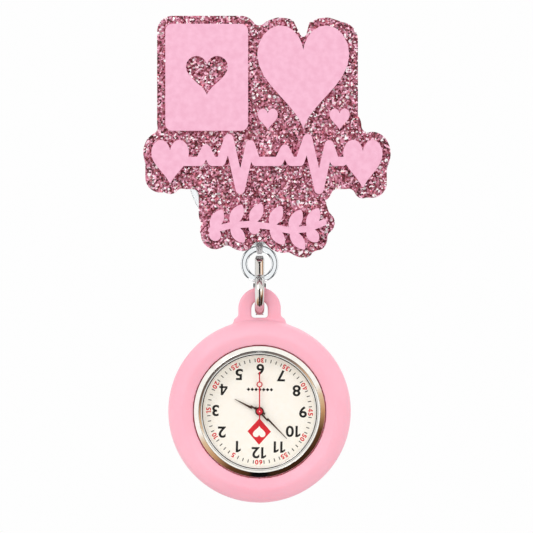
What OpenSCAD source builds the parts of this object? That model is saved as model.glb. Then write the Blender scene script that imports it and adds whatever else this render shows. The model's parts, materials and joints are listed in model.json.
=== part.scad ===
/* [Layout] */
// Height of the reel's centre above the bite of the garment clip
reel_z = 12; // [11:0.5:14]
// Drop from the reel's centre to the centre of the cord-end ring
ring_drop = 21.4; // [21.2:0.1:22]
// Drop from the ring's centre to the centre of the silicone loop's bar
bar_drop = 6.9; // [6.7:0.1:7.2]
// Distance from the loop's bar to the watch's centre
loop_reach = 27; // [26.5:0.1:28]
// Distance of the plane that the cord hangs in, in front of the clip's bite
hang_depth = 7.6; // [7.4:0.1:8]

/* [Topper] */
// Thickness of the glitter backing
backing_t = 2.4; // [1.5:0.1:3]
// Height that the motifs stand out of the backing
motif_t = 1.2; // [0.6:0.1:2]
// Width of the glitter border left around the motifs
border = 1.9; // [1:0.1:3]
// Thickness of the adhesive pad behind the backing
pad_t = 1; // [0.5:0.1:1.2]
// Width of the drawn lines of the pulse trace and the leaf sprig
line_w = 2.1; // [1.5:0.1:2.5]

/* [Reel] */
// Radius of the reel's housing
reel_r = 16.5; // [16:0.1:17]
// Thickness of the reel's housing
reel_t = 9; // [8.8:0.1:9.4]
// Wall thickness of the two shells
shell_t = 1.3; // [1:0.1:1.5]
// Diameter of the pull cord
cord_d = 0.8; // [0.6:0.1:1]
// Radius of the spool's hub, outside its spring barrel
hub_r = 8.8; // [8.5:0.1:9]

/* [Ring and clasp] */
// Radius of the ring, measured to the middle of its round section
ring_r = 3.55; // [3.4:0.05:3.6]
// Radius of the ring's round section
ring_wire = 0.8; // [0.7:0.05:0.85]
// Thickness of the lobster clasp
clasp_t = 2.2; // [1.8:0.1:2.6]
// Outer radius of the clasp's claw around the loop's bar
claw_r = 4.9; // [4.6:0.1:5]
// Inner radius of the claw
claw_gap = 2.3; // [2.2:0.05:2.4]

/* [Silicone cover] */
// Outer radius of the silicone cover
cover_r = 21; // [20.5:0.1:22]
// Thickness of the silicone cover
cover_t = 12; // [11.8:0.1:12.4]
// Radius of the front opening
window_r = 15.2; // [15:0.1:15.3]
// Width of the hanging loop
loop_w = 9.8; // [9:0.1:11]
// Thickness of the hanging loop, front to back
loop_t = 3.2; // [2.8:0.1:3.3]
// Width of the slot in the loop
slot_w = 3.8; // [3.6:0.1:4.2]

/* [Watch] */
// Outer radius of the metal watch case
case_r = 15.8; // [15.7:0.05:15.8]
// Radius of the dial
dial_r = 13.4; // [13.2:0.05:13.45]
// Length of the hour hand
hour_len = 6.3; // [5:0.1:7]
// Length of the minute hand
minute_len = 8.85; // [8:0.1:9.5]
// Length of the second hand
second_len = 9.1; // [8.5:0.1:9.8]
// Hour on the dial when the watch is at rest
rest_hour = 3; // [0:11]
// Minutes after the hour when the watch is at rest
rest_minute = 52.5; // [0:0.5:59.5]
// Second shown when the watch is at rest
rest_second = 30; // [0:59]

/* [Garment clip] */
// Width of the clip
clip_w = 9; // [8:0.1:10]
// Length of the clip from its bite to its finger pad
clip_l = 27; // [26:0.1:28]
// Height of the hinge pin above the clip's bite
hinge_z = 17.5; // [17:0.1:18]

/* [Hidden] */

$fn = 64;

// Depths, all as distances in front of the clip's bite
reel_back = hang_depth - reel_t / 2;
reel_front = reel_back + reel_t;
topper_back = reel_front + pad_t;
topper_front = topper_back + backing_t;

// Heights of the hanging pieces
ring_z = reel_z - ring_drop;
bow_z = ring_z - ring_r;
bar_z = ring_z - bar_drop;
watch_z = bar_z - loop_reach;

running = 0.05;
loose = 0.3;

// Turns a piece drawn in the front view, facing the viewer, about a point at height z
module facing(z = 0, depth = 0) {
    translate([0, -depth, z]) rotate([90, 0, 0]) children();
}

// Extrudes a side profile, drawn as depth behind the bite and height, to a width w
module side(w) {
    rotate([90, 0, 90]) linear_extrude(w, center = true) children();
}

// A disc or ring between two depths of the local front view
module ring_plate(r_out, r_in, low, high) {
    translate([0, 0, low]) linear_extrude(high - low) difference() {
        circle(r_out);
        if (r_in > 0) circle(r_in);
    }
}

// A rectangle with round corners, from its two opposite corners
module rounded_rect(x0, y0, x1, y1, r) {
    translate([x0 + r, y0]) square([x1 - x0 - 2 * r, y1 - y0]);
    translate([x0, y0 + r]) square([x1 - x0, y1 - y0 - 2 * r]);
    for (x = [x0 + r, x1 - r], y = [y0 + r, y1 - r]) translate([x, y]) circle(r, $fn = 32);
}

// A line of width w with round ends through a list of points
module stroke(points, w) {
    for (i = [0 : len(points) - 2]) {
        step = points[i + 1] - points[i];
        translate(points[i]) rotate(atan2(step[1], step[0])) {
            translate([0, -w / 2]) square([norm(step), w]);
            circle(d = w, $fn = 24);
        }
    }
    translate(points[len(points) - 1]) circle(d = w, $fn = 24);
}

// A heart of width w and height h
function heart_point(a) = [
    16 * pow(sin(a), 3),
    13 * cos(a) - 5 * cos(2 * a) - 2 * cos(3 * a) - cos(4 * a)
];
module heart(w, h, steps = 40) {
    polygon([for (i = [0 : steps - 1])
        let (p = heart_point(360 * i / steps)) [p[0] * w / 32, p[1] * h / 29]]);
}

// A spur gear's outline with trapezoid teeth
module gear(teeth, module_size) {
    pitch = teeth * module_size / 2;
    root = pitch - 1.1 * module_size;
    tip = pitch + 0.85 * module_size;
    turn = 360 / teeth;
    polygon([for (i = [0 : teeth - 1], k = [[-0.31, root], [-0.13, tip], [0.13, tip], [0.31, root]])
        k[1] * [cos(turn * (i + k[0])), sin(turn * (i + k[0]))]]);
}

// ---- Topper ----

module leaf(l, w) {
    bend = (l * l + w * w) / (4 * w);
    translate([l / 2, 0]) intersection() {
        translate([0, bend - w / 2]) circle(bend);
        translate([0, w / 2 - bend]) circle(bend);
    }
}

module tile_shape() {
    rounded_rect(-21.5, 9, -2.6, 33.4, 1.6);
}

module heart_shape() {
    translate([10, 23.2]) heart(21, 24);
    for (x = [1.9, 18.3]) translate([x, 12]) heart(4.6, 5);
}

module pulse_shape() {
    beat = [
        [0, 0], [3.4, 0], [4.8, 2.8], [6.2, 0], [8.2, 0],
        [10, 5.2], [12.6, -6.4], [14.9, 3.8], [16.2, 0], [18, 0]
    ];
    for (x = [-17, 1]) translate([x, 2]) stroke(beat, line_w);
    translate([-20.4, 2.6]) heart(8.6, 10.5);
    translate([23.6, 2.2]) heart(9, 11.5);
}

module sprig_shape() {
    stem = [[-11, -13.7], [-6.5, -12.6], [-2, -12.3], [2.5, -12.9], [7, -13.8], [11, -13.4], [14.6, -12]];
    stroke(stem, line_w * 0.7);
    low_leaf = [2.8, 5, 2.6, 5.2, 5.5, 3.8];
    for (i = [0 : len(low_leaf) - 1]) translate(stem[i]) {
        rotate(62) leaf(5.4, 2.9);
        rotate(-52) leaf(low_leaf[i], 2.7);
    }
}

module topper_backing() {
    fill_r = 1.5;
    cleft = [[6.4, 37], [9.3, 31], [9.8, 30.5], [10.2, 30.5], [10.7, 31], [12.2, 37]];
    color([0.74, 0.48, 0.55]) facing(reel_z) translate([0, 0, topper_back]) linear_extrude(backing_t)
        difference() {
            offset(r = -fill_r, $fn = 24) offset(r = border + fill_r, $fn = 24) {
                tile_shape();
                heart_shape();
                pulse_shape();
                sprig_shape();
                rounded_rect(-12, -12, 13, 12, 2);
                rounded_rect(-18.6, -2.4, 21.4, 12, 1.8);
                rounded_rect(1.5, 10, 20.6, 32, 2.2);
                rounded_rect(-24.2, -3.2, -20.5, 3, 1.5);
                rounded_rect(24, -4.4, 27.2, 3, 1.5);
            }
            polygon(cleft);
        }
}

module motif() {
    color([0.95, 0.71, 0.80]) facing(reel_z)
        translate([0, 0, topper_front]) linear_extrude(motif_t) children();
}

module window_tile() {
    motif() difference() {
        tile_shape();
        translate([-12, 22.4]) heart(9.6, 9);
    }
}

module heart_tile() {
    motif() heart_shape();
}

module pulse_trace() {
    motif() offset(r = 0.3, $fn = 24) offset(r = -0.3) pulse_shape();
}

module leaf_sprig() {
    motif() offset(r = 0.2, $fn = 24) offset(r = -0.2) sprig_shape();
}

module adhesive_pad() {
    color("white") facing(reel_z) ring_plate(12, 0, reel_front, topper_back);
}

// ---- Reel ----

spool_low = reel_back + shell_t + 1;
spool_high = reel_front - shell_t - loose;
flange_t = 0.8;
flange_r = reel_r - shell_t - 0.9;
winding_r = hub_r + 2.4;
post_r = 2.2;
barrel_r = hub_r - 1;
rivet_r = 1.5;
nozzle_w = 8.4;
nozzle_t = 4.8;
nozzle_end = -18.9;
knot_r = 1.25;
knot_y = -ring_drop + ring_r;
lead_top = -(reel_r - shell_t) + loose;
run_r = winding_r + cord_d / 2 + 0.1;
run_angle = acos(run_r / -lead_top);

module reel_front_shell() {
    color([0.9, 0.93, 0.95, 0.45]) facing(reel_z) difference() {
        union() {
            ring_plate(reel_r, reel_r - shell_t, reel_back + shell_t, reel_front);
            ring_plate(reel_r, 0, reel_front - shell_t, reel_front);
            ring_plate(post_r, 0, spool_low, reel_front - shell_t / 2);
            translate([0, 0, hang_depth - nozzle_t / 2]) linear_extrude(nozzle_t) difference() {
                rounded_rect(-nozzle_w / 2, nozzle_end, nozzle_w / 2, -reel_r + 2.5, 0.8);
                circle(reel_r - shell_t / 2);
            }
        }
        translate([0, -ring_drop, hang_depth - nozzle_t])
            cylinder(r = ring_r + ring_wire + 0.25, h = 2 * nozzle_t);
        translate([0, 0, hang_depth]) rotate([90, 0, 0]) {
            cylinder(r = cord_d / 2 + 0.2, h = reel_r + 1);
            translate([0, 0, -knot_y - knot_r - loose]) cylinder(r = knot_r + loose, h = 6);
        }
    }
}

module reel_back_shell() {
    rib_r = reel_r - shell_t - running;
    color([0.9, 0.93, 0.95, 0.45]) facing(reel_z) {
        ring_plate(reel_r, rivet_r + running, reel_back, reel_back + shell_t);
        ring_plate(rib_r, rib_r - 0.8, reel_back + shell_t, reel_back + shell_t + 1.2);
    }
}

module reel_spool() {
    color("white") facing(reel_z) {
        ring_plate(hub_r, barrel_r, spool_low, spool_high);
        ring_plate(barrel_r, post_r + running, spool_high - 0.9, spool_high);
        for (low = [spool_low, spool_high - flange_t]) ring_plate(flange_r, hub_r, low, low + flange_t);
    }
}

module reel_spring() {
    turns = 5;
    per_turn = 24;
    inner = post_r + 0.5;
    outer = barrel_r - 0.3;
    strip_t = 0.25;
    last = turns * per_turn;
    function spiral(i, shift) = (inner + (outer - strip_t - inner) * i / last + shift)
        * [cos(360 * i / per_turn), sin(360 * i / per_turn)];
    color("lightsteelblue") facing(reel_z) translate([0, 0, spool_low + 0.2])
        linear_extrude(spool_high - spool_low - 1.3)
            polygon(concat(
                [for (i = [0 : last]) spiral(i, 0)],
                [for (i = [last : -1 : 0]) spiral(i, strip_t)]
            ));
}

module cord_winding() {
    color("whitesmoke") facing(reel_z)
        ring_plate(winding_r, hub_r, spool_low + flange_t, spool_high - flange_t);
}

// The cord inside the housing, from the inside of the exit to the winding
module cord_run() {
    start = [0, lead_top + 0.1];
    touch = run_r * [sin(run_angle), -cos(run_angle)];
    course = touch - start;
    color("whitesmoke") facing(reel_z, hang_depth) translate(start) rotate(atan2(course[1], course[0]))
        rotate([0, 90, 0]) translate([0, 0, cord_d]) cylinder(d = cord_d, h = norm(course) - cord_d);
}

// The knot round the ring, with the short end of cord above it
module cord_knot() {
    wrap = 26;
    hole = ring_wire + running;
    color("whitesmoke") facing(ring_z, hang_depth) {
        rotate(90 - wrap / 2) rotate_extrude(angle = wrap) translate([ring_r, 0]) difference() {
            circle(knot_r, $fn = 32);
            circle(hole, $fn = 32);
        }
        translate([0, ring_r + hole + 0.2, 0]) rotate([-90, 0, 0])
            cylinder(d = cord_d, h = lead_top + ring_drop - ring_r - hole - 0.2);
    }
}

module torus(r, wire) {
    rotate_extrude() translate([r, 0]) circle(wire, $fn = 32);
}

module cord_end_ring() {
    color([0.92, 0.94, 0.96, 0.5]) facing(ring_z, hang_depth) torus(ring_r, ring_wire);
}

// ---- Garment clip ----

plate_front = -2.2;
plate_back = -1.2;
hinge_y = 1;
pin_r = 0.7;
ear_t = 0.8;
lug_t = 0.8;
ear_x = clip_w / 2 - ear_t / 2;
lug_x = clip_w / 2 - ear_t - loose / 2 - lug_t / 2;

module clip_rivet() {
    color("silver") facing(reel_z) {
        ring_plate(2.4, 0, 0.7, -plate_back);
        ring_plate(rivet_r, 0, -plate_back, reel_back + shell_t + 0.15);
        ring_plate(2.6, rivet_r, -plate_front, reel_back - 0.1);
        ring_plate(2.6, 0, reel_back + shell_t + 0.15, reel_back + shell_t + 0.75);
    }
}

module clip_base() {
    color("silver") difference() {
        union() {
            side(clip_w) polygon([
                [plate_front, clip_l - 3], [plate_back, clip_l - 3], [plate_back, 3.4], [-0.2, 1.8],
                [-0.2, 0], [-1, 0], [plate_front, 2.2]
            ]);
            for (x = [-ear_x, ear_x]) translate([x, 0, 0]) side(ear_t) {
                translate([hinge_y, hinge_z]) circle(1.9);
                translate([plate_front, hinge_z - 1.9]) square([hinge_y - plate_front, 3.8]);
            }
        }
        facing(reel_z) translate([0, 0, 0.5]) cylinder(r = rivet_r, h = 3);
        translate([0, hinge_y, hinge_z]) rotate([0, 90, 0])
            cylinder(r = pin_r, h = 2 * clip_w, center = true);
    }
}

module clip_lever() {
    lever_w = 2 * lug_x + lug_t;
    color("silver") difference() {
        union() {
            intersection() {
                side(lever_w) polygon([
                    [0.2, 0], [1.3, 0], [3, 4], [3.5, hinge_z], [6.9, clip_l], [6, clip_l],
                    [2.6, hinge_z + 0.6], [2.1, 4.4], [0.2, 2]
                ]);
                facing() translate([0, 0, -10]) linear_extrude(12)
                    rounded_rect(-lever_w / 2, -1, lever_w / 2, clip_l, 1.8);
            }
            side(lever_w - 2.6) for (share = [0.56, 0.72, 0.88])
                translate([3.5, hinge_z] + share * [3.4, clip_l - hinge_z]) circle(0.4, $fn = 16);
            for (x = [-lug_x, lug_x]) translate([x, 0, 0]) side(lug_t) {
                translate([hinge_y, hinge_z]) circle(1.5);
                translate([hinge_y, hinge_z - 1.5]) square([2, 2.6]);
            }
        }
        translate([0, hinge_y, hinge_z]) rotate([0, 90, 0])
            cylinder(r = pin_r + running, h = 2 * clip_w, center = true);
        facing() translate([0, 0, -4.5]) linear_extrude(3.5) rounded_rect(-1.3, 5.5, 1.3, 13.5, 1.25);
    }
}

module clip_hinge_pin() {
    color("dimgray") translate([0, hinge_y, hinge_z]) rotate([0, 90, 0])
        cylinder(r = pin_r, h = clip_w + 0.6, center = true);
}

module clip_spring() {
    wire_r = 0.25;
    coils = 6;
    color("gray") translate([0, hinge_y, hinge_z]) {
        for (i = [0 : coils - 1]) translate([(i - (coils - 1) / 2) * wire_r * 1.8, 0, 0])
            rotate([0, 90, 0]) torus(pin_r + 0.1 + wire_r, wire_r);
        translate([-1, -1, -5]) cylinder(r = wire_r, h = 5, $fn = 24);
        translate([1, -1, 0]) cylinder(r = wire_r, h = 3.5, $fn = 24);
    }
}

// ---- Lobster clasp, drawn from the side about the loop's bar ----

lever_t = 1;
slot_t = lever_t + loose;
gate_in = 3.75;
gate_out = claw_r - 0.05;
gate_low = -0.95;
gate_tip = [4.75, -0.85];
pivot = [2.5, 3.6];
pivot_r = 0.45;
eye_top = ring_z + 1.9 - bar_z;
eye_z = bow_z - bar_z;
eye_r = ring_wire + 0.25;

module from_bar(w) {
    translate([0, -hang_depth, bar_z]) side(w) children();
}

module clasp_body() {
    color("silver") difference() {
        from_bar(clasp_t) difference() {
            union() {
                circle(claw_r);
                rounded_rect(-2.1, 2.4, 2.1, eye_top, 1.9);
                translate(pivot) circle(1.5);
            }
            circle(claw_gap);
            translate([0, gate_low]) square([claw_r + 1, 2.4 - gate_low]);
            intersection() {
                translate(pivot) circle(norm(gate_tip - pivot) + 0.1);
                translate([0, -2]) square([claw_r, 2]);
            }
            translate([0, eye_z]) circle(eye_r);
        }
        from_bar(slot_t) translate([1.2, gate_low]) square([claw_r - 0.2, 4.85 - gate_low]);
        translate([0, pivot[0] - hang_depth, bar_z + pivot[1]]) rotate([0, 90, 0])
            cylinder(r = pivot_r, h = 9, center = true);
        translate([0, 1.5 - hang_depth, bar_z + 4.5]) cylinder(r = 0.4, h = 1.9);
    }
}

module clasp_lever() {
    color("gainsboro") difference() {
        union() {
            from_bar(lever_t) {
                intersection() {
                    difference() {
                        circle(gate_out);
                        circle(gate_in);
                    }
                    polygon([[0, 0], gate_tip * 2, [9, 9], pivot * 3]);
                }
                translate(pivot) circle(1);
            }
            from_bar(clasp_t + 0.7) translate([claw_r - 0.6, 0.9]) rounded_rect(0, 0, 1.1, 1.7, 0.3);
        }
        translate([0, pivot[0] - hang_depth, bar_z + pivot[1]]) rotate([0, 90, 0])
            cylinder(r = pivot_r + running, h = 9, center = true);
    }
}

module clasp_pin() {
    color("dimgray") translate([0, pivot[0] - hang_depth, bar_z + pivot[1]]) rotate([0, 90, 0])
        cylinder(r = pivot_r, h = clasp_t, center = true);
}

module clasp_spring() {
    color("gray") translate([0, 1.5 - hang_depth, bar_z + 4.7]) cylinder(r = 0.34, h = 1.6);
}

// ---- Watch, all from here about its own axis, with depth 0 at its middle ----

module in_watch() {
    facing(watch_z, hang_depth) children();
}

half_t = cover_t / 2;
edge_r = 4.4;
lip_z = 4.9;
bar_h = 3;
loop_y = loop_reach + bar_h / 2 - loop_w / 2;
stem_level = -1.4;
crown_r = 1.6;

// The soft ring that holds the case: a slim lip in front, a broad one behind
module cover_section() {
    middle_r = cover_r - edge_r;
    difference() {
        union() {
            translate([12.6, -half_t]) square([middle_r - 12.6, cover_t]);
            translate([window_r, edge_r - half_t]) square([cover_r - window_r, cover_t - 2 * edge_r]);
            for (z = [edge_r - half_t, half_t - edge_r]) translate([middle_r, z]) circle(edge_r);
        }
        translate([0, -4.4]) square([case_r + 0.1, 8.9]);
        translate([0, 0]) square([window_r, cover_t]);
        polygon([
            [window_r - 1, lip_z], [window_r, lip_z], [window_r + 3, lip_z + 1.2],
            [window_r + 3, half_t + 1], [window_r - 1, half_t + 1]
        ]);
    }
}

module silicone_cover() {
    color([0.99, 0.72, 0.77]) in_watch() difference() {
        union() {
            rotate_extrude($fn = 96) cover_section();
            translate([0, 0, -loop_t / 2]) linear_extrude(loop_t) difference() {
                union() {
                    translate([0, loop_y]) circle(loop_w / 2);
                    translate([-loop_w / 2, cover_r - 4]) square([loop_w, loop_y - cover_r + 4]);
                    rounded_rect(-6, cover_r - 3, 6, cover_r + 0.6, 1);
                }
                translate([0, loop_y]) circle(slot_w / 2);
                translate([-slot_w / 2, cover_r + 0.5]) square([slot_w, loop_y - cover_r - 0.5]);
            }
        }
        translate([-case_r - 3.4, 0, stem_level]) rotate([0, 90, 0]) cylinder(r = crown_r + 0.5, h = 5);
    }
}

ledge_r = 12.95;
bore_r = dial_r + 0.1;
seat_r = 14.3;
glass_z = 4.2;
glass_r = 13.2;
rim_r = 13.45;

module watch_case() {
    color([0.78, 0.72, 0.66]) in_watch() difference() {
        rotate_extrude($fn = 96) polygon([
            [ledge_r, 3.85], [ledge_r, glass_z], [rim_r, glass_z], [rim_r, 4.95], [rim_r + 0.5, 5.35],
            [15.1, 4.7], [15.2, 4.4], [case_r - 0.2, 4.3], [case_r, 4], [case_r, -3.4],
            [case_r - 0.4, -4.2], [seat_r, -4.2], [seat_r, -3.2], [seat_r - 0.15, -3.2],
            [seat_r - 0.15, -2.85], [bore_r, -2.85], [bore_r, 3.85]
        ]);
        translate([-case_r - 1, 0, stem_level]) rotate([0, 90, 0]) cylinder(r = 0.65, h = 4);
    }
}

module case_back() {
    color("silver") in_watch() {
        ring_plate(seat_r - running, 0, -4.2, -3.25);
        ring_plate(11.6, 10.8, -4.35, -4.2);
    }
}

module case_back_gasket() {
    color("black") in_watch() ring_plate(seat_r - 0.2, bore_r + 0.1, -3.25, -2.9);
}

module crystal() {
    dome_r = 130;
    rise = dome_r - sqrt(dome_r * dome_r - glass_r * glass_r);
    color([0.9, 0.95, 1, 0.3]) in_watch() intersection() {
        ring_plate(glass_r, 0, glass_z, 7);
        translate([0, 0, glass_z + 0.9 + rise - dome_r]) rotate_extrude($fn = 256) intersection() {
            circle(dome_r, $fn = 720);
            translate([0, dome_r - 4]) square([glass_r + 1, 5]);
        }
    }
}

module crystal_gasket() {
    color("white") in_watch() ring_plate(rim_r - running, glass_r + running, glass_z, glass_z + 0.75);
}

module flange_ring() {
    color("silver") in_watch() rotate_extrude() polygon([
        [12.95, 3.8], [bore_r - running, 3.8], [bore_r - running, 1.4], [12.75, 1.4], [12.75, 1.7]
    ]);
}

module dial() {
    color([0.99, 0.96, 0.92]) in_watch() ring_plate(dial_r, 0.8, 0.95, 1.35);
}

// ---- Hands. Twelve is at the bottom, so that the wearer reads the dial from above. ----

minute_angle = 6 * rest_minute;
hour_angle = 30 * rest_hour + rest_minute / 2;
second_angle = 6 * rest_second;
arbor_r = 0.14;
centre_tube_r = 0.32;
hour_tube_in = centre_tube_r + running;
hour_tube_r = 0.62;

module hand(angle, low, high) {
    in_watch() translate([0, 0, low]) linear_extrude(high - low) rotate(180 - angle) children();
}

// Two slim blades that meet in a small jog, like a lightning flash
module flash_blades(l, w, jog) {
    polygon([[-0.5 * w, -1.4], [0.5 * w, -1.4], [0.8 * w, jog + 0.2], [0, jog - 0.15]]);
    polygon([[0.3 * w, jog - 0.05], [0.07, l], [-0.07, l], [-0.7 * w, jog - 0.45], [-0.1 * w, jog - 0.35]]);
}

module hour_hand() {
    color([0.35, 0.22, 0.15]) hand(hour_angle, 1.7, 1.85) difference() {
        union() {
            circle(1);
            flash_blades(hour_len, 0.5, 2.3);
        }
        circle(hour_tube_r);
    }
}

module minute_hand() {
    color([0.35, 0.22, 0.15]) hand(minute_angle, 2.1, 2.25) difference() {
        union() {
            circle(0.75);
            flash_blades(minute_len, 0.45, 2.8);
        }
        circle(centre_tube_r);
    }
}

module second_hand() {
    eye = 6.2;
    color("red") hand(second_angle, 2.48, 2.6) difference() {
        union() {
            circle(0.7);
            translate([-0.14, -2.8]) square([0.28, second_len + 2.8]);
            translate([0, eye]) circle(0.7);
        }
        translate([0, eye]) circle(0.44);
        circle(arbor_r);
    }
}

// ---- Movement ----

plate_r = 10;
holder_r = bore_r - running;
battery_r = 3.4;
battery_at = [0.9, 6.45];
third_way = -20;
inter_way = 215;
rotor_way = 250;
minute_way = 150;
third_at = 3.06 * [cos(third_way), sin(third_way)];
inter_at = 3.15 * [cos(inter_way), sin(inter_way)];
rotor_at = inter_at + 2.31 * [cos(rotor_way), sin(rotor_way)];
minute_at = 2.4 * [cos(minute_way), sin(minute_way)];
coil_y = -7.4;
coil_l = 7;
core_l = 12;
coil_level = -1.8;
screw_at = [for (a = [22, 148, 205]) 8.9 * [cos(a), sin(a)]];
pivot_hole = 0.16 + running / 2;
stem_in = 6.5;

module at(p) {
    translate([p[0], p[1], 0]) children();
}

module movement_holder() {
    color("ivory") in_watch() difference() {
        ring_plate(holder_r, plate_r + running, -2.6, 0.9);
        translate([-holder_r - 1, 0, stem_level]) rotate([0, 90, 0]) cylinder(r = 0.6, h = 6);
    }
}

module main_plate() {
    color([0.72, 0.74, 0.76]) in_watch() difference() {
        union() {
            ring_plate(plate_r, centre_tube_r + running, -0.6, -0.05);
            for (p = screw_at) at(p) ring_plate(0.8, 0.3, -2.2, -0.55);
        }
        for (p = [third_at, inter_at, rotor_at]) at(p) ring_plate(pivot_hole, 0, -1, 1);
        at(minute_at) ring_plate(0.3, 0, -1, 1);
    }
}

module train_bridge() {
    color([0.80, 0.79, 0.74]) in_watch() difference() {
        ring_plate(plate_r - 0.2, arbor_r + running, -2.6, -2.2);
        translate([-12, -16.2, -5]) cube([24, 11.2, 10]);
        at(battery_at) ring_plate(battery_r + 0.3, 0, -3, 0);
        for (p = [third_at, inter_at, rotor_at]) at(p) ring_plate(pivot_hole, 0, -3, 0);
        for (p = screw_at) at(p) ring_plate(0.3, 0, -3, 0);
    }
}

module movement_screws() {
    color("lightsteelblue") in_watch() for (p = screw_at) at(p) {
        ring_plate(0.3, 0, -2.6, -1);
        difference() {
            ring_plate(0.6, 0, -2.9, -2.6);
            translate([-1, -0.08, -3]) cube([2, 0.16, 0.22]);
        }
    }
}

module battery() {
    color("silver") in_watch() at(battery_at) {
        ring_plate(battery_r, 0, -2.8, -0.95);
        ring_plate(battery_r - 0.5, 0, -0.95, -0.65);
    }
}

module battery_strap() {
    color("gold") in_watch() translate([0, 0, -3]) linear_extrude(0.18) difference() {
        union() {
            translate(battery_at) rounded_rect(-0.9, -3, 0.9, 3, 0.6);
            translate(battery_at) rotate(-32) rounded_rect(-0.7, -0.7, 8.2, 0.7, 0.6);
        }
        translate(battery_at) circle(0.4);
    }
}

module circuit_board() {
    color("darkgreen") in_watch() translate([0, 0, -2.6]) linear_extrude(0.25) difference() {
        intersection() {
            circle(plate_r - 0.2);
            translate([-12, -12]) square([24, 6.8]);
        }
        rounded_rect(-coil_l / 2 - 0.4, coil_y - 1.4, coil_l / 2 + 0.4, coil_y + 1.4, 0.4);
    }
}

module quartz_crystal() {
    color("silver") in_watch() translate([5.9, -3.2, -1.45]) rotate([90, 0, 0]) cylinder(r = 0.7, h = 3.4);
}

module coil() {
    end = core_l / 2 - 0.6;
    color("chocolate") in_watch() translate([0, coil_y, coil_level]) {
        rotate([0, 90, 0]) {
            cylinder(r = 1, h = coil_l, center = true);
            cylinder(r = 0.35, h = 2 * end, center = true);
            for (x = [-1, 1]) translate([0, 0, x * coil_l / 2]) cylinder(r = 1.15, h = 0.3, center = true);
        }
        for (x = [-end, end]) translate([x, 0, -0.35]) cylinder(r = 0.45, h = -0.95 - coil_level + 0.35);
    }
}

module stator() {
    arm_t = 0.3;
    color("slategray") in_watch() translate([0, 0, -0.95]) linear_extrude(arm_t) difference() {
        union() {
            translate(rotor_at) circle(1.5);
            stroke([rotor_at, [-core_l / 2 + 0.6, coil_y]], 1.2);
            stroke([rotor_at, [1.5, -4.3], [core_l / 2 - 0.6, coil_y]], 1.2);
        }
        translate(rotor_at) circle(1);
    }
}

// Where to turn a gear so that a gap, not a tooth, faces a direction
function gap_facing(way, teeth) = way + 180 / teeth;

// One gear between two depths, turned to mesh
module wheel(teeth, size, low, high, turn) {
    translate([0, 0, low]) linear_extrude(high - low) rotate(turn) gear(teeth, size);
}

module arbor() {
    ring_plate(0.16, 0, -2.5, -0.15);
}

module rotor() {
    color("dimgray") in_watch() at(rotor_at) {
        ring_plate(0.75, 0, -1.5, -0.7);
        arbor();
        wheel(6, 0.11, -2.12, -1.82, gap_facing(rotor_way - 180, 6));
    }
}

module intermediate_wheel() {
    color("ivory") in_watch() at(inter_at) {
        wheel(36, 0.11, -2.08, -1.9, rotor_way);
        wheel(6, 0.175, -1.9, -1.5, gap_facing(inter_way - 180, 6));
        arbor();
    }
}

module fourth_wheel() {
    color("ivory") in_watch() {
        wheel(30, 0.175, -1.8, -1.62, inter_way);
        wheel(6, 0.12, -1.62, -1.15, third_way);
        ring_plate(arbor_r, 0, -2.5, 2.6);
    }
}

module third_wheel() {
    color("gold") in_watch() at(third_at) {
        wheel(45, 0.12, -1.45, -1.25, gap_facing(third_way + 180, 45));
        wheel(6, 0.1133, -1.25, -0.66, third_way + 180);
        arbor();
    }
}

module centre_wheel() {
    color("gold") in_watch() difference() {
        union() {
            wheel(48, 0.1133, -0.92, -0.72, gap_facing(third_way, 48));
            ring_plate(centre_tube_r, 0, -0.92, 2.25);
        }
        ring_plate(arbor_r + running, 0, -3, 5);
    }
}

module cannon_pinion() {
    color("silver") in_watch() difference() {
        wheel(8, 0.15, 0.05, 0.35, minute_way);
        ring_plate(centre_tube_r, 0, -1, 1);
    }
}

module minute_wheel() {
    color("gold") in_watch() at(minute_at) {
        wheel(24, 0.15, 0.08, 0.32, gap_facing(minute_way + 180, 24));
        wheel(6, 0.16, 0.32, 0.72, minute_way + 180);
        ring_plate(0.25, 0, -0.5, 0.4);
    }
}

module hour_wheel() {
    color("gold") in_watch() difference() {
        union() {
            wheel(24, 0.16, 0.45, 0.7, gap_facing(minute_way, 24));
            ring_plate(hour_tube_r, 0, 0.45, 1.85);
        }
        ring_plate(hour_tube_in, 0, -3, 5);
    }
}

module crown() {
    grips = 24;
    color([0.78, 0.72, 0.66]) in_watch()
    translate([-case_r - 1.75, 0, stem_level]) rotate([0, 90, 0]) difference() {
        cylinder(r = crown_r, h = 1.7);
        for (i = [0 : grips - 1]) rotate(360 * i / grips) translate([crown_r + 0.05, 0, -1])
            cylinder(r = 0.13, h = 4, $fn = 4);
        translate([0, 0, 0.8]) cylinder(r = 0.45, h = 2);
    }
}

module stem() {
    color("silver") in_watch() translate([-case_r - 0.95, 0, stem_level]) rotate([0, 90, 0]) {
        cylinder(r = 0.45, h = case_r + 0.95 - stem_in - 1.6);
        cylinder(r = 0.3, h = case_r + 0.95 - stem_in);
    }
}

topper_backing();
window_tile();
heart_tile();
pulse_trace();
leaf_sprig();
adhesive_pad();
reel_front_shell();
reel_back_shell();
reel_spool();
reel_spring();
cord_winding();
cord_run();
cord_knot();
cord_end_ring();
clip_rivet();
clip_base();
clip_lever();
clip_hinge_pin();
clip_spring();
clasp_body();
clasp_lever();
clasp_pin();
clasp_spring();
silicone_cover();
watch_case();
case_back();
case_back_gasket();
crystal();
crystal_gasket();
flange_ring();
dial();
hour_hand();
minute_hand();
second_hand();
movement_holder();
main_plate();
train_bridge();
movement_screws();
battery();
battery_strap();
circuit_board();
quartz_crystal();
coil();
stator();
rotor();
intermediate_wheel();
fourth_wheel();
third_wheel();
centre_wheel();
cannon_pinion();
minute_wheel();
hour_wheel();
crown();
stem();
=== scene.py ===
import json
import math

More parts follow.
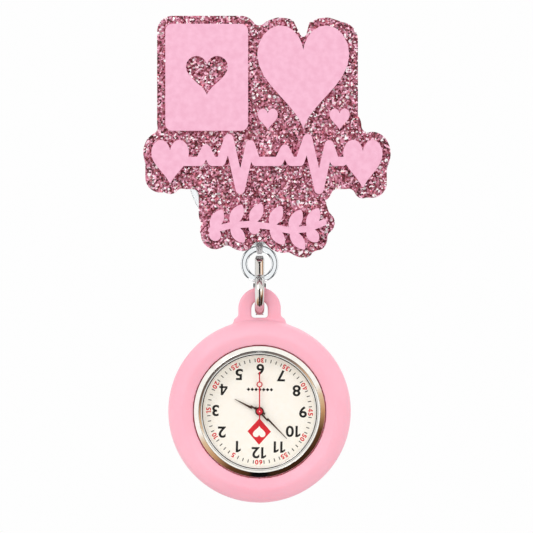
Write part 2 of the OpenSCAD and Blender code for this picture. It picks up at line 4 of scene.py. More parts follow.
import bmesh
import bpy
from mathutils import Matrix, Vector


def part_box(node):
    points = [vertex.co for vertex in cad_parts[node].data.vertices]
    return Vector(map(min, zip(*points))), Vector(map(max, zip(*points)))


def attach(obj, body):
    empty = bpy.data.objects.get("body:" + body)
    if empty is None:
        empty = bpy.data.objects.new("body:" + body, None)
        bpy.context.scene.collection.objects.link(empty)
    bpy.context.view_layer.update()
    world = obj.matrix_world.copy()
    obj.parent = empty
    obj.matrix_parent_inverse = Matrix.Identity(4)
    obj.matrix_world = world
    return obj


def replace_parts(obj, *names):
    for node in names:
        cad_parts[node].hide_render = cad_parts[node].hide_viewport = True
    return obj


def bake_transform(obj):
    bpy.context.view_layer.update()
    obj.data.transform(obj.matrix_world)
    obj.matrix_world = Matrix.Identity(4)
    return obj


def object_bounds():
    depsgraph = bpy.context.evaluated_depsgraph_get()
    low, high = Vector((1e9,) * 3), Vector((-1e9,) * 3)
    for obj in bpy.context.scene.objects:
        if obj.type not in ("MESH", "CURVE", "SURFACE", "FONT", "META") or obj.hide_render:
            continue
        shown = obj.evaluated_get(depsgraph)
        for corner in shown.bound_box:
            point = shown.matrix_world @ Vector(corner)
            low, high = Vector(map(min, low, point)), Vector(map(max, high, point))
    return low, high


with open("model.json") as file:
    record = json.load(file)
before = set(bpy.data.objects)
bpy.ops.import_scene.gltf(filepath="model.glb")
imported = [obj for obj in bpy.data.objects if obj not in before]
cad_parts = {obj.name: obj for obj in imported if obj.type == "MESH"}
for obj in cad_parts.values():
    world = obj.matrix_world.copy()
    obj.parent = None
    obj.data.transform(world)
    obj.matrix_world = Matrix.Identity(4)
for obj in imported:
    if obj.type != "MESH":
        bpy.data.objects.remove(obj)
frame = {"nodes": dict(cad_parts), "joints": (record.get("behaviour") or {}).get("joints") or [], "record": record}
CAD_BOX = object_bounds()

MM = 0.001
NODES = frame["nodes"]
BODY_OF = {node: body for body, nodes in frame["record"]["behaviour"]["bodies"].items() for node in nodes}


def middle(node):
    low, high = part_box(node)
    return (low + high) / 2


def joint_place(name):
    return Vector(next(j["pos_m"] for j in frame["joints"] if j["name"] == name))


# ---- Camera ----

LENS, SENSOR = 300, 36
PICTURE_H = 122.6 * MM        # height of the picture at the dial's depth
AIM_X = 1.6 * MM              # the picture's centre is a little right of the object's axis
AIM_DROP = 57.3 * MM          # and this far below the object's highest point


def make_camera():
    dial_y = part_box("dial")[0].y
    data = bpy.data.cameras.new("camera")
    data.lens, data.sensor_width = LENS, SENSOR
    camera = bpy.data.objects.new("camera", data)
    bpy.context.scene.collection.objects.link(camera)
    distance = PICTURE_H * LENS / SENSOR
    camera.location = (AIM_X, dial_y - distance, CAD_BOX[1].z - AIM_DROP)
    camera.rotation_euler = (math.pi / 2, 0, 0)
    data.clip_start, data.clip_end = 0.01, 20
    bpy.context.scene.camera = camera


make_camera()


# ---- Material tools ----

def srgb(red, green, blue):
    """A colour given as 0 to 255 screen values, in the linear light that shaders use."""
    parts = [c / 255 for c in (red, green, blue)]
    return tuple(c / 12.92 if c <= 0.04045 else ((c + 0.055) / 1.055) ** 2.4 for c in parts) + (1.0,)


class Nodes:
    """Short ways to add nodes to a material's or the world's tree."""

    def __init__(self, tree):
        self.tree = tree

    def node(self, kind, links=(), **values):
        made = self.tree.nodes.new(kind)
        for key, value in values.items():
            if hasattr(made, key):
                setattr(made, key, value)
            else:
                made.inputs[key.replace("_", " ")].default_value = value
        for socket, source in dict(links).items():
            self.tree.links.new(source, made.inputs[socket])
        return made

    def ramp(self, source, stops, constant=False):
        made = self.node("ShaderNodeValToRGB", {"Fac": source})
        made.color_ramp.interpolation = "CONSTANT" if constant else "LINEAR"
        elements = made.color_ramp.elements
        while len(elements) < len(stops):
            elements.new(0.5)
        for element, (position, colour) in zip(elements, stops):
            element.position, element.color = position, colour
        return made.outputs["Color"]

    def mapped(self, source, from_low, from_high, low=0.0, high=1.0):
        made = self.node("ShaderNodeMapRange", {"Value": source}, clamp=True)
        limits = {"From Min": from_low, "From Max": from_high, "To Min": low, "To Max": high}
        for socket, value in limits.items():
            made.inputs[socket].default_value = value
        return made.outputs["Result"]

    def mix(self, factor, first, second):
        """Blends two colours; each is a colour value or another node's output."""
        made = self.node("ShaderNodeMix", {0: factor}, data_type="RGBA")
        for socket, colour in ((6, first), (7, second)):
            if isinstance(colour, tuple):
                made.inputs[socket].default_value = colour
            else:
                self.tree.links.new(colour, made.inputs[socket])
        return made.outputs[2]

    def sum(self, first, first_share, second, second_share):
        scaled = self.node("ShaderNodeMath", {0: first}, operation="MULTIPLY")
        scaled.inputs[1].default_value = first_share
        total = self.node("ShaderNodeMath", {0: second, 2: scaled.outputs[0]}, operation="MULTIPLY_ADD")
        total.inputs[1].default_value = second_share
        return total.outputs[0]

    def strips(self, angle, count):
        """Nought in narrow strips, count of them to the turn, and one between them."""
        turned = self.node("ShaderNodeMath", {0: angle}, operation="MULTIPLY")
        turned.inputs[1].default_value = count
        wave = self.node("ShaderNodeMath", {0: turned.outputs[0]}, operation="COSINE")
        return self.mapped(wave.outputs[0], -0.85, -0.45)


class Paint(Nodes):
    """A material whose shader takes constants on its own sockets and patterns through nodes."""

    def __init__(self, name, **sockets):
        self.material = bpy.data.materials.new(name)
        self.material.use_nodes = True
        super().__init__(self.material.node_tree)
        self.shader = self.tree.nodes["Principled BSDF"]
        self.place = self.node("ShaderNodeTexCoord").outputs["Object"]
        for socket, value in sockets.items():
            self.shader.inputs[socket.replace("_", " ")].default_value = value

    def noise(self, scale, detail=3.0, stretch=(1, 1, 1)):
        """Soft noise with about scale features to the metre."""
        mapping = self.node("ShaderNodeMapping", {"Vector": self.place})
        mapping.inputs["Scale"].default_value = stretch
        made = self.node("ShaderNodeTexNoise", {"Vector": mapping.outputs["Vector"]},
                         Scale=scale, Detail=detail)
        return made.outputs["Fac"]

    def spread(self, source, low, high):
        """The middle of a noise, spread over the range from low to high."""
        return self.mapped(source, 0.3, 0.7, low, high)

    def feed(self, socket, source):
        self.tree.links.new(source, self.shader.inputs[socket])

    def bump(self, source, strength, depth):
        made = self.node("ShaderNodeBump", {"Height": source}, Strength=strength, Distance=depth)
        self.feed("Normal", made.outputs["Normal"])


def plain_paint(name, dark, light, rough, scale, bump=0.2, depth=0.03 * MM, stretch=(1, 1, 1), **sockets):
    """The everyday finish: two near colours, uneven gloss and a fine surface, all from one kind of noise."""
    paint = Paint(name, **sockets)
    fine = paint.noise(scale, stretch=stretch)
    broad = paint.noise(scale / 9, stretch=stretch)
    paint.feed("Base Color", paint.ramp(broad, [(0.35, srgb(*dark)), (0.65, srgb(*light))]))
    paint.feed("Roughness", paint.spread(fine, *rough))
    paint.bump(fine, bump, depth)
    return paint.material


# ---- Materials ----

def glitter_paint():
    """Clear acrylic full of tilted flakes, each with its own colour and its own glint, with rare near-white spots
    painted in as glints.
    """
    paint = Paint("glitter_acrylic", Roughness=0.2, Coat_Weight=0.6, Coat_Roughness=0.05)
    flakes = paint.node("ShaderNodeTexVoronoi", {"Vector": paint.place}, Scale=2600, Randomness=1.0)
    tint = paint.node("ShaderNodeSeparateColor", {"Color": flakes.outputs["Color"]})
    picked = paint.sum(tint.outputs["Red"], 0.84, paint.noise(900, detail=1), 0.28)
    # Painted glints: rare larger cells get a near-white base colour that stands in for glints of light
    large = paint.node("ShaderNodeTexVoronoi", {"Vector": paint.place}, Scale=620, Randomness=1.0)
    near = paint.mapped(large.outputs["Distance"], 0.30, 0.20)
    rare = paint.node("ShaderNodeSeparateColor", {"Color": large.outputs["Color"]})
    chosen = paint.mapped(rare.outputs["Blue"], 0.74, 0.76)
    painted_glint = paint.node("ShaderNodeMath", {0: near, 1: chosen}, operation="MULTIPLY")
    flake = paint.ramp(picked, [
        (0.0, srgb(78, 34, 40)), (0.25, srgb(130, 56, 70)), (0.43, srgb(172, 94, 112)),
        (0.60, srgb(214, 138, 162)), (0.80, srgb(246, 190, 212)), (0.90, srgb(255, 246, 250)),
    ], constant=True)
    paint.feed("Base Color", paint.mix(painted_glint.outputs[0], flake, srgb(255, 248, 250)))
    paint.feed("Metallic", paint.spread(tint.outputs["Green"], 0.05, 0.6))
    centred = paint.node("ShaderNodeVectorMath", {0: flakes.outputs["Color"]}, operation="SUBTRACT")
    centred.inputs[1].default_value = (0.5, 0.5, 0.5)
    tilt = paint.node("ShaderNodeVectorMath", {0: centred.outputs[0]}, operation="SCALE", Scale=0.9)
    face = paint.node("ShaderNodeNewGeometry")
    tilted = paint.node("ShaderNodeVectorMath", {0: face.outputs["Normal"], 1: tilt.outputs[0]},
                        operation="ADD")
    unit = paint.node("ShaderNodeVectorMath", {0: tilted.outputs[0]}, operation="NORMALIZE")
    paint.feed("Normal", unit.outputs[0])
    return paint.material


def silicone_paint():
    """Soft translucent silicone with a satin skin, and hot-pink painted shade in its recesses."""
    paint = Paint("silicone", Subsurface_Weight=0.2, Subsurface_Scale=1.0 * MM,
                  Sheen_Weight=0.15, Sheen_Roughness=0.4)
    paint.shader.inputs["Subsurface Radius"].default_value = (1.0, 0.45, 0.4)
    body = paint.ramp(paint.noise(60), [(0.3, srgb(243, 172, 188)), (0.7, srgb(247, 182, 197))])
    # Painted shade: hot pink is mixed into the base colour where ambient occlusion finds recesses
    open_to = paint.node("ShaderNodeAmbientOcclusion", samples=6, Distance=2.2 * MM).outputs["AO"]
    paint.feed("Base Color", paint.mix(paint.mapped(open_to, 0.1, 0.45), srgb(255, 150, 172), body))
    skin = paint.noise(9000, detail=2)
    paint.feed("Roughness", paint.spread(skin, 0.46, 0.6))
    paint.bump(skin, 0.12, 0.01 * MM)
    return paint.material


def brushed_paint(name, dark, light, rough, stretch, **sockets):
    return plain_paint(name, dark, light, rough, 9000, bump=0.15, depth=0.01 * MM, stretch=stretch,
                       Metallic=1.0, **sockets)


def clear_paint(name, tint, rough, **sockets):
    """Clear moulded plastic with faint flow marks."""
    paint = Paint(name, Transmission_Weight=1.0, Base_Color=srgb(*tint), **sockets)
    flow = paint.noise(400, detail=2)
    paint.feed("Roughness", paint.spread(flow, *rough))
    paint.bump(flow, 0.08, 0.05 * MM)
    return paint.material


def crystal_paint():
    """Thin mineral glass, which shows only by its gloss."""
    paint = Paint("mineral_glass", Alpha=0.02, IOR=1.5, Base_Color=(0.1, 0.1, 0.1, 1))
    paint.feed("Roughness", paint.spread(paint.noise(150), 0.0, 0.03))
    return paint.material


def copper_paint():
    """Enamelled copper wire, wound in fine turns along the coil."""
    paint = Paint("copper_winding", Metallic=0.9, Roughness=0.35)
    turns = paint.node("ShaderNodeTexWave", {"Vector": paint.place}, bands_direction="X", Scale=2200)
    copper = [(0.2, srgb(96, 38, 18)), (0.7, srgb(196, 108, 62))]
    paint.feed("Base Color", paint.ramp(turns.outputs["Fac"], copper))
    paint.bump(turns.outputs["Fac"], 0.5, 0.04 * MM)
    return paint.material


def circuit_paint():
    """Green solder mask over copper tracks."""
    paint = Paint("circuit_laminate", Roughness=0.35, Coat_Weight=0.3)
    tracks = paint.node("ShaderNodeTexBrick", {"Vector": paint.place}, Scale=900)
    greens = [(0.4, srgb(22, 84, 44)), (0.6, srgb(58, 120, 62))]
    paint.feed("Base Color", paint.ramp(tracks.outputs["Fac"], greens))
    paint.bump(tracks.outputs["Fac"], 0.3, 0.03 * MM)
    return paint.material


def braid_paint():
    """White braided cord."""
    paint = Paint("cord_nylon", Sheen_Weight=0.3)
    weave = paint.node("ShaderNodeTexVoronoi", {"Vector": paint.place}, Scale=4500)
    whites = [(0.1, srgb(244, 244, 244)), (0.8, srgb(196, 196, 198))]
    paint.feed("Base Color", paint.ramp(weave.outputs["Distance"], whites))
    paint.feed("Roughness", paint.spread(weave.outputs["Distance"], 0.55, 0.8))
    paint.bump(weave.outputs["Distance"], 0.5, 0.05 * MM)
    return paint.material


ACROSS, ALONG = (0.08, 1, 1), (1, 1, 0.08)
PAINTS = {
    "glitter_acrylic": glitter_paint(),
    "pink_acrylic": plain_paint("pink_acrylic", (230, 169, 193), (237, 180, 203), (0.42, 0.6), 6000,
                                bump=0.35),
    "foam_pad": plain_paint("foam_pad", (226, 226, 222), (244, 244, 240), (0.8, 0.95), 5000, bump=0.8),
    "clear_plastic": clear_paint("clear_plastic", (246, 250, 252), (0.01, 0.05), IOR=1.4, Alpha=0.5),
    "clear_cast": clear_paint("clear_cast", (244, 248, 250), (0.0, 0.03), IOR=1.49),
    "white_plastic": plain_paint("white_plastic", (232, 232, 230), (244, 244, 242), (0.35, 0.5), 4000),
    "spring_steel": brushed_paint("spring_steel", (96, 98, 104), (134, 136, 142), (0.25, 0.4), ALONG),
    "nickel_steel": brushed_paint("nickel_steel", (214, 211, 208), (232, 230, 228), (0.06, 0.13), ALONG),
    "cord_nylon": braid_paint(),
    "silicone": silicone_paint(),
    "case_alloy": brushed_paint("case_alloy", (246, 243, 239), (252, 250, 247), (0.03, 0.07), (1, 1, 1)),
    "back_steel": brushed_paint("back_steel", (196, 196, 198), (220, 220, 222), (0.18, 0.3), ACROSS),
    "gasket_rubber": plain_paint("gasket_rubber", (22, 22, 24), (38, 38, 40), (0.5, 0.7), 5000),
    "gasket_nylon": plain_paint("gasket_nylon", (236, 236, 230), (246, 246, 242), (0.3, 0.4), 4000),
    "mineral_glass": crystal_paint(),
    "dial_enamel": plain_paint("dial_enamel", (253, 246, 233), (254, 249, 239), (0.4, 0.55), 8000, bump=0.1,
                               depth=0.005 * MM),
    "bronze_paint": plain_paint("bronze_paint", (74, 44, 34), (112, 74, 58), (0.3, 0.45), 6000, Metallic=0.7),
    "red_paint": plain_paint("red_paint", (196, 18, 40), (214, 30, 50), (0.3, 0.45), 6000, bump=0.1),
    "holder_plastic": plain_paint("holder_plastic", (226, 222, 208), (238, 234, 222), (0.4, 0.55), 4000),
    "plate_steel": brushed_paint("plate_steel", (176, 178, 182), (204, 206, 210), (0.22, 0.36), ACROSS),
    "gilt_brass": brushed_paint("gilt_brass", (206, 170, 92), (226, 194, 122), (0.18, 0.3), (1, 1, 1)),
    "circuit_laminate": circuit_paint(),
    "copper_winding": copper_paint(),
    "gear_plastic": plain_paint("gear_plastic", (232, 222, 196), (242, 234, 212), (0.35, 0.5), 5000),
    "can_metal": brushed_paint("can_metal", (190, 190, 192), (216, 216, 218), (0.2, 0.32), ALONG),
    "ink_black": plain_paint("ink_black", (6, 5, 5), (16, 14, 14), (0.6, 0.7), 9000, bump=0.05),
    "ink_red": plain_paint("ink_red", (214, 4, 26), (226, 12, 36), (0.6, 0.7), 9000, bump=0.05),
    "ink_grey": plain_paint("ink_grey", (34, 31, 30), (50, 46, 44), (0.6, 0.7), 9000, bump=0.05),
    "floor": plain_paint("floor", (238, 237, 235), (246, 245, 243), (0.7, 0.8), 60, bump=0.05),
}


def dress(obj, name):
    obj.data.materials.clear()
    obj.data.materials.append(PAINTS[name])


def dress_cad_nodes():
    """Every CAD node in its own material, but the cord's ring in a clearer plastic than the housing's."""
    for row in frame["record"]["subparts"]:
        node = NODES[row["node"]]
        for slot in node.material_slots:
            slot.material = PAINTS[row["material_slot"]]
        if not node.material_slots:
            node.data.materials.append(PAINTS[row["material_slot"]])
    dress(NODES["cord_end_ring"], "clear_cast")


# ---- Shape tools ----

def add_piece(name, bm, paint, body, smooth=True):
    """A closed mesh that rides on a CAD body."""
    mesh = bpy.data.meshes.new(name)
    bmesh.ops.recalc_face_normals(bm, faces=bm.faces)
    bm.to_mesh(mesh)
    bm.free()
    if smooth:
        mesh.shade_smooth()
        mesh.set_sharp_from_angle(angle=math.radians(38))
    piece = bpy.data.objects.new(name, mesh)
    bpy.context.scene.collection.objects.link(piece)
    dress(piece, paint)
    if body:
        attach(piece, body)
    return piece


def soften(node, width, segments=3):
    """Rounds the crisp edges of a CAD node with a modifier, which leaves its own mesh as it is."""
    piece = NODES[node]
    if "custom_normal" in piece.data.attributes:
        piece.data.attributes.remove(piece.data.attributes["custom_normal"])
    piece.data.shade_smooth()
    weld = piece.modifiers.new("weld", "WELD")
    weld.merge_threshold = 0.002 * MM
    bevel = piece.modifiers.new("bevel", "BEVEL")
    bevel.width, bevel.segments = width, segments
    bevel.limit_method, bevel.angle_limit = "ANGLE", math.radians(40)
    bevel.harden_normals = True


def tube(bm, points, radius, sides=12, closed=False):
    """A round tube along a list of points, with flat ends unless it closes on itself."""
    rings = []
    count = len(points)
    guide = Vector((0.123, 0.97, 0.21))
    for i, point in enumerate(points):
        before = points[(i - 1) % count] if closed else points[max(i - 1, 0)]
        after = points[(i + 1) % count] if closed else points[min(i + 1, count - 1)]
        along = (after - before).normalized()
        side = along.cross(guide).normalized()
        guide = side.cross(along).normalized()
        rings.append([bm.verts.new(point + radius * (math.cos(t) * side + math.sin(t) * guide))
                      for t in (2 * math.pi * k / sides for k in range(sides))])
    last = count if closed else count - 1
    for i in range(last):
        low, high = rings[i], rings[(i + 1) % count]
        for k in range(sides):
            bm.faces.new((low[k], low[(k + 1) % sides], high[(k + 1) % sides], high[k]))
    if not closed:
        bm.faces.new(rings[0])
        bm.faces.new(rings[-1])


# ---- Softened edges ----

def finish_topper():
    soften("topper_backing", 0.35 * MM, 4)
    for node in ("window_tile", "heart_tile", "pulse_trace", "leaf_sprig"):
        soften(node, 0.32 * MM, 4)


def finish_metal():
    soften("clasp_lever", 0.2 * MM, 3)
    soften("watch_case", 0.1 * MM, 3)


# ---- Silicone cover ----

def skin(node, voxel, passes):
    """A node's solid rebuilt as one even mesh with every edge and inner corner rounded off."""
    mesh = NODES[node].data.copy()
    mesh.name = node + "_skin"
    made = bpy.data.objects.new(mesh.name, mesh)
    bpy.context.scene.collection.objects.link(made)
    remesh = made.modifiers.new("remesh", "REMESH")
    remesh.mode, remesh.voxel_size = "VOXEL", voxel
    smooth = made.modifiers.new("smooth", "SMOOTH")
    smooth.factor, smooth.iterations = 0.5, passes
    bpy.context.view_layer.update()
    made.data = bpy.data.meshes.new_from_object(made.evaluated_get(bpy.context.evaluated_depsgraph_get()))
    made.modifiers.clear()
    made.data.shade_smooth()
    slot = next(row["material_slot"] for row in frame["record"]["subparts"] if row["node"] == node)
    dress(made, slot)
    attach(made, BODY_OF[node])
    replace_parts(made, node)
    return made


# ---- Lobster clasp ----

CLASP_ROUND = 0.95 * MM       # how far in from an outer edge the rounding reaches
NECK_W = 2.1 * MM             # half the neck's depth, above the bar that the watch hangs on
CLAW_IN = 2.3 * MM            # inner radius of the claw
CLAW_EASE = 0.45 * MM         # the claw's inner edges count as this far in, so they are rounded less
EYE_START = 0.6 * MM          # the rounding round the ring's hole is measured from this radius
TIP_SHARE = 0.78              # the claw's tip keeps at least this share of the full width


def polished_clasp():
    """The clasp's body, cast with a full round along the outside of its claw and round its eye."""
    low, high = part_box("clasp_body")
    bar = joint_place("watch_lift")
    half_w, claw = (high.x - low.x) / 2, bar.z - low.z
    eye = joint_place("clasp_swing")
    for vertex in skin("clasp_body", 0.1 * MM, 3).data.vertices:
        place = vertex.co
        out, up = place.y - bar.y, place.z - bar.z
        from_bar = math.hypot(out, up)
        inside = claw - from_bar
        if up > 0:
            neck = min(NECK_W - abs(out), max(high.z - place.z, 0.0))
            inside = max(inside, neck)
        inside = min(inside, from_bar - CLAW_IN + CLAW_EASE, math.hypot(out, place.z - eye.z) - EYE_START)
        share = 1 - min(max(inside / CLASP_ROUND, 0.0), 1.0)
        width = half_w * math.sqrt(max(1 - share * share, 0.02))
        if out > 0.5 * MM:
            width = max(width, TIP_SHARE * half_w)
        if abs(place.x) > width:
            place.x = math.copysign(width, place.x)


# ---- Dial printing ----

DIAL_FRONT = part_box("dial")[0].y
WATCH_AXIS = middle("dial")
INK_T = 0.012 * MM            # thickness of the ink
PRINT_TURN = math.radians(1)  # the printed dial sits one degree round from upright
HOUR_H, HOUR_BOLD = 2.6 * MM, 0.024
HOUR_REACH = 10.9 * MM        # the circle that the hour numerals' outer corners lie on
MINUTE_H, MINUTE_BOLD = 1.1 * MM, 0.034
MINUTE_R = 11.72 * MM         # the circle that the minute numerals and ticks are centred on


def on_dial(x, z, layer=0):
    """A point on the dial, from its centre, facing the viewer."""
    across = x * math.cos(PRINT_TURN) + z * math.sin(PRINT_TURN)
    up = z * math.cos(PRINT_TURN) - x * math.sin(PRINT_TURN)
    return Vector((WATCH_AXIS.x + across, DIAL_FRONT - (layer + 1) * INK_T, WATCH_AXIS.z + up))


def dial_direction(degrees):
    """The way to a place on the dial, clockwise from twelve, which is at the bottom."""
    turn = math.radians(180 + degrees)
    return Vector((math.sin(turn), math.cos(turn)))


ONE = [[(0.24, 0), (0.44, 0), (0.44, 1), (0.24, 1)], [(0.24, 1), (0.24, 0.80), (0, 0.66), (0, 0.84)]]
FOUR = [[(0.41, 0), (0.59, 0), (0.59, 1), (0.41, 1)], [(0, 0.20), (0.41, 0.20), (0.41, 0.37), (0, 0.37)],
        [(0.59, 0.20), (0.72, 0.20), (0.72, 0.37), (0.59, 0.37)],
        [(0, 0.37), (0.18, 0.37), (0.41, 0.72), (0.41, 1)]]
WIDE = 1.09                   # how much wider the printed digits are than the font's
DIGIT_GAP = 0.14              # between two digits, as a share of their height


def digit_faces(digit, bold):
    """A digit's flat faces, one unit high; one and four are drawn, and the rest come from a font."""
    if digit in "14":
        return [[Vector(corner) for corner in face] for face in (ONE if digit == "1" else FOUR)]
    curve = bpy.data.curves.new("digit", "FONT")
    curve.body, curve.offset = digit, bold
    curve.resolution_u = 6
    holder = bpy.data.objects.new("digit", curve)
    bpy.context.scene.collection.objects.link(holder)
    bpy.context.view_layer.update()
    mesh = bpy.data.meshes.new_from_object(holder.evaluated_get(bpy.context.evaluated_depsgraph_get()))
    corners = [v.co.xy for v in mesh.vertices]
    low = Vector((min(c.x for c in corners), min(c.y for c in corners)))
    height = max(c.y for c in corners) - low.y
    faces = [[(corners[i] - low) / height * Vector((WIDE, 1)) for i in face.vertices]
             for face in mesh.polygons]
    bpy.data.objects.remove(holder)
    bpy.data.curves.remove(curve)
    bpy.data.meshes.remove(mesh)
    return faces


def number_faces(number, bold):
    """A whole number's flat faces, centred, one unit high."""
    faces, edge = [], 0
    for digit in str(number):
        drawn = digit_faces(digit, bold)
        faces += [[corner + Vector((edge, 0)) for corner in face] for face in drawn]
        edge += max(corner.x for face in drawn for corner in face) + DIGIT_GAP
    return [[corner - Vector(((edge - DIGIT_GAP) / 2, 0.5)) for corner in face] for face in faces]


def print_faces(bm, faces, x, z, turn, height, layer=0):
    """Prints flat faces on the dial, turned clockwise, as a film of ink."""
    cosine, sine = math.cos(-turn), math.sin(-turn)
    made = {}
    flat = []
    for face in faces:
        ring = []
        for corner in face:
            a, b = corner.x * height, corner.y * height
            key = (round(a / INK_T * 50), round(b / INK_T * 50))
            if key not in made:
                made[key] = bm.verts.new(on_dial(x + a * cosine - b * sine, z + a * sine + b * cosine, layer))
            if made[key] not in ring:
                ring.append(made[key])
        if len(ring) > 2:
            flat.append(bm.faces.new(ring))
    thick = bmesh.ops.extrude_face_region(bm, geom=flat)
    moved = [g for g in thick["geom"] if isinstance(g, bmesh.types.BMVert)]
    bmesh.ops.translate(bm, verts=moved, vec=(0, INK_T * 0.7, 0))


def bar_face(width, height):
    half_w, half_h = width / 2, height / 2
    return [[Vector((-half_w, -half_h)), Vector((half_w, -half_h)),
             Vector((half_w, half_h)), Vector((-half_w, half_h))]]


def reach_within(faces, way, height, radius):
    """How far out an upside-down number can sit before a corner of it passes a circle."""
    corners = [-corner * height for face in faces for corner in face]
    return min(math.sqrt(corner.dot(way) ** 2 - corner.length_squared + radius ** 2) - corner.dot(way)
               for corner in corners)


def print_hours():
    bm = bmesh.new()
    for hour in range(1, 13):
        faces = number_faces(hour, HOUR_BOLD)
        way = dial_direction(30 * hour)
        way *= reach_within(faces, way, HOUR_H, HOUR_REACH)
        print_faces(bm, faces, way.x, way.y, math.pi, HOUR_H)
    add_piece("hour_numerals", bm, "ink_black", BODY_OF["dial"], smooth=False)


def print_minutes():
    numerals, ticks = bmesh.new(), bmesh.new()
    for minute in range(1, 61):
        way = dial_direction(6 * minute) * MINUTE_R
        lean = math.radians(6 * minute)
        if minute % 5:
            print_faces(ticks, bar_face(0.2, 0.76), way.x, way.y, lean, MM)
        else:
            flipped = 90 < (6 * minute) % 360 < 270
            print_faces(numerals, number_faces(minute, MINUTE_BOLD), way.x, way.y,
                        lean + (0 if flipped else math.pi), MINUTE_H)
    add_piece("minute_numerals", numerals, "ink_red", BODY_OF["dial"], smooth=False)
    add_piece("minute_ticks", ticks, "ink_grey", BODY_OF["dial"], smooth=False)


def heart_points(width, count=36):
    """The usual heart curve, 32 units wide, brought to a width and centred."""
    def height(t):
        return 13 * math.cos(t) - 5 * math.cos(2 * t) - 2 * math.cos(3 * t) - math.cos(4 * t)

    raw = [(16 * math.sin(t) ** 3, height(t)) for t in (2 * math.pi * k / count for k in range(count))]
    return [Vector((x / 32 * width, (z + 2.5) / 32 * width)) for x, z in raw]


def print_emblem():
    """A red lozenge with a cream heart below the hands, and a row of small diamonds above them."""
    drop = -4.65 * MM
    lozenge = [[Vector((2.7, 0)), Vector((0, 3.05)), Vector((-2.7, 0)), Vector((0, -3.05))]]
    red, cream = bmesh.new(), bmesh.new()
    print_faces(red, lozenge, 0, drop, 0, MM)
    print_faces(cream, [heart_points(2.9)], 0, drop, math.pi, MM, layer=1)
    add_piece("dial_lozenge", red, "ink_red", BODY_OF["dial"], smooth=False)
    add_piece("dial_lozenge_heart", cream, "dial_enamel", BODY_OF["dial"], smooth=False)
    rule = bmesh.new()
    for step in range(-3, 4):
        print_faces(rule, bar_face(0.58, 0.58), step * 0.88 * MM, 5.0 * MM, math.pi / 4, MM)
    add_piece("dial_rule", rule, "ink_black", BODY_OF["dial"], smooth=False)


# ---- Reel and cord ----

CORD_R = 0.4 * MM
REEL_AXIS = middle("cord_winding")


def wound_cord():
    """The cord on the spool, as turns lying side by side in layers."""
    low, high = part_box("cord_winding")
    outer = (high.x - low.x) / 2
    bm = bmesh.new()
    rows = int((high.y - low.y) / (2 * CORD_R))
    pitch = (high.y - low.y - 2 * CORD_R) / (rows - 1)
    for layer in range(2):
        radius = outer - CORD_R - layer * 1.75 * CORD_R
        for row in range(rows):
            y = low.y + CORD_R + pitch * row
            turn = [REEL_AXIS + Vector((radius * math.cos(t), y - REEL_AXIS.y, radius * math.sin(t)))
                    for t in (2 * math.pi * k / 72 for k in range(72))]
            tube(bm, turn, CORD_R * 0.98, sides=10, closed=True)
    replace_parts(add_piece("cord_turns", bm, "cord_nylon", BODY_OF["cord_winding"]), "cord_winding")


def pull_cord():
    """The stretch of cord between the reel's exit and the ring, as a straight tube that rides on no body."""
    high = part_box("cord_knot")[1]
    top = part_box("cord_run")[0].z + 0.3 * MM
    bottom = high.z - 1.2 * MM
    bm = bmesh.new()
    steps = 40
    route = [Vector((REEL_AXIS.x, REEL_AXIS.y, top + (bottom - top) * k / steps)) for k in range(steps + 1)]
    tube(bm, route, CORD_R)
    cord = add_piece("pull_cord", bm, "cord_nylon", None)
    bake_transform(cord)


def cord_wraps():
    """The knot: turns of cord lashed round the top of the ring, with a small ball above them."""
    ring_low, ring_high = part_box("cord_end_ring")
    wire = (ring_high.y - ring_low.y) / 2
    centre = middle("cord_end_ring")
    bend = (ring_high.z - ring_low.z) / 2 - wire
    bm = bmesh.new()
    reach = wire + 0.27 * MM
    for lean in (-8, 0, 8):
        turn = math.radians(lean)
        out = Vector((math.sin(turn), 0, math.cos(turn)))
        loop = [centre + out * (bend + reach * math.cos(t)) + Vector((0, reach * math.sin(t), 0))
                for t in (2 * math.pi * k / 28 for k in range(28))]
        tube(bm, loop, 0.24 * MM, sides=10, closed=True)
    ball = bmesh.ops.create_icosphere(bm, subdivisions=3, radius=0.62 * MM)
    bmesh.ops.translate(bm, verts=ball["verts"], vec=(centre.x, centre.y, centre.z + bend + reach + 0.1 * MM))
    knot = add_piece("cord_wraps", bm, "cord_nylon", BODY_OF["cord_knot"])
    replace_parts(knot, "cord_knot")


# ---- Springs ----

def clip_coil():
    """The clip's torsion spring: a close coil round the pin with two legs."""
    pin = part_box("clip_hinge_pin")
    low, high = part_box("clip_spring")
    axis = middle("clip_hinge_pin")
    wire = 0.24 * MM
    radius = (pin[1].z - pin[0].z) / 2 + wire + 0.1 * MM
    half = (high.x - low.x) / 2 - wire
    turns, per_turn = 5, 24
    points = [axis + Vector((-half, -radius, low.z - axis.z + wire))]
    for k in range(turns * per_turn + 1):
        t = 2 * math.pi * k / per_turn
        x = -half + 2 * half * k / (turns * per_turn)
        points.append(axis + Vector((x, -radius * math.cos(t), radius * math.sin(t))))
    points.append(axis + Vector((half, -radius, high.z - axis.z - wire)))
    bm = bmesh.new()
    tube(bm, points, wire, sides=10)
    spring = add_piece("clip_coil", bm, "spring_steel", BODY_OF["clip_spring"])
    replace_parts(spring, "clip_spring")


# ---- Studio ----

def make_floor():
    """A plain pale disc below the watch at its lowest, when the cord is all the way out."""
    travel = next(j["range_m"][1] for j in frame["joints"] if j["name"] == "cord_pull")
    bpy.ops.mesh.primitive_circle_add(vertices=96, radius=0.16, fill_type="NGON",
                                      location=(0, 0, CAD_BOX[0].z - travel - 0.1))
    floor = bpy.context.object
    floor.name = "floor"
    dress(floor, "floor")


def soft_light(name, place, aim, size, watts):
    data = bpy.data.lights.new(name, "AREA")
    data.shape, data.size, data.energy = "DISK", size, watts
    lamp = bpy.data.objects.new(name, data)
    bpy.context.scene.collection.objects.link(lamp)
    lamp.location = place
    lamp.rotation_euler = (Vector(aim) - Vector(place)).to_track_quat("-Z", "Y").to_euler()


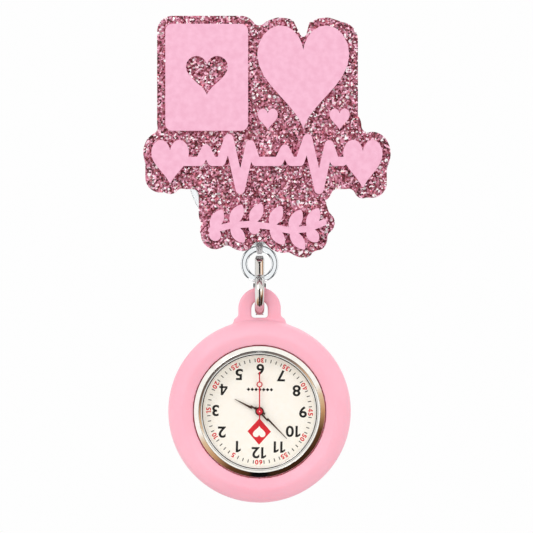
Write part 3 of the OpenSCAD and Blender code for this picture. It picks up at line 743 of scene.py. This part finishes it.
def make_world():
    """A white room for soft light; polished and clear pieces see its darker corners."""
    world = bpy.data.worlds.new("studio")
    world.use_nodes = True
    bpy.context.scene.world = world
    studio = Nodes(world.node_tree)
    way = studio.node("ShaderNodeSeparateXYZ", {0: studio.node("ShaderNodeTexCoord").outputs["Generated"]})
    height, across, away = way.outputs["Z"], way.outputs["X"], way.outputs["Y"]
    # Mirrored light: white above and to the left, tan to the right, dark brown below, black round and below
    # the camera, and a grey horizon behind the watch
    room = studio.ramp(studio.mapped(studio.sum(height, 0.85, across, -0.35), -1, 1), [
        (0.12, srgb(58, 34, 20)), (0.24, srgb(96, 62, 38)), (0.34, srgb(196, 150, 108)),
        (0.44, srgb(226, 196, 160)), (0.51, srgb(255, 254, 250)),
    ])
    sideways = studio.node("ShaderNodeMath", {0: across}, operation="ABSOLUTE").outputs[0]
    beside = studio.node("ShaderNodeMath", {0: studio.mapped(sideways, 0.1, 0.16),
                                            1: studio.mapped(height, 0.1, 0.25)}, operation="MAXIMUM")
    room = studio.mix(beside.outputs[0], srgb(12, 11, 11), room)
    behind = studio.ramp(studio.mapped(height, -1, 1), [
        (0.22, srgb(104, 100, 96)), (0.42, srgb(232, 230, 227)), (0.56, srgb(255, 255, 255)),
        (0.64, srgb(140, 141, 144)), (0.72, srgb(238, 238, 238)),
    ])
    behind = studio.mix(studio.mapped(away, 0.2, 0.45), (1, 1, 1, 1), behind)
    mirrored = studio.mix(studio.mapped(away, -0.25, 0.1), room, behind)
    mirrored = studio.mix(studio.mapped(away, -0.90, -0.84), srgb(12, 11, 11), mirrored)
    # Light bent through clear plastic: bright, with narrow dark strips off to the sides that draw its edges
    bearing = studio.node("ShaderNodeMath", {0: across, 1: away}, operation="ARCTAN2").outputs[0]
    rise = studio.node("ShaderNodeMath", {0: height}, operation="ARCSINE").outputs[0]
    between = studio.node("ShaderNodeMath", {0: studio.strips(bearing, 8), 1: studio.strips(rise, 6)},
                          operation="MINIMUM")
    bent = studio.mix(between.outputs[0], srgb(74, 76, 80), (1, 1, 1, 1))
    around = studio.mix(studio.mapped(height, -0.8, 0.5), (0.96, 0.94, 0.94, 1), (1.06, 1.06, 1.07, 1))
    ray = studio.node("ShaderNodeLightPath").outputs
    light = studio.mix(ray["Is Glossy Ray"], around, mirrored)
    light = studio.mix(ray["Is Transmission Ray"], light, bent)
    light = studio.mix(ray["Is Camera Ray"], light, (0.99, 0.99, 0.99, 1))
    sky = world.node_tree.nodes["Background"]
    world.node_tree.links.new(light, sky.inputs["Color"])
    sky.inputs["Strength"].default_value = 1.0


finish_topper()
finish_metal()
dress_cad_nodes()
skin("silicone_cover", 0.3 * MM, 4)
polished_clasp()
skin("reel_front_shell", 0.26 * MM, 4)
wound_cord()
print_hours()
print_minutes()
print_emblem()
pull_cord()
cord_wraps()
clip_coil()
make_floor()
make_world()
soft_light("key", (-0.35, -0.6, 0.45), (0, 0, -0.03), 0.35, 1.2)
soft_light("fill", (0.45, -0.55, 0.1), (0, 0, -0.03), 0.4, 0.3)
soft_light("rear", (0.1, 0.6, 0.5), (0, 0, -0.03), 0.5, 1.0)
bpy.context.scene.view_settings.view_transform = "Standard"
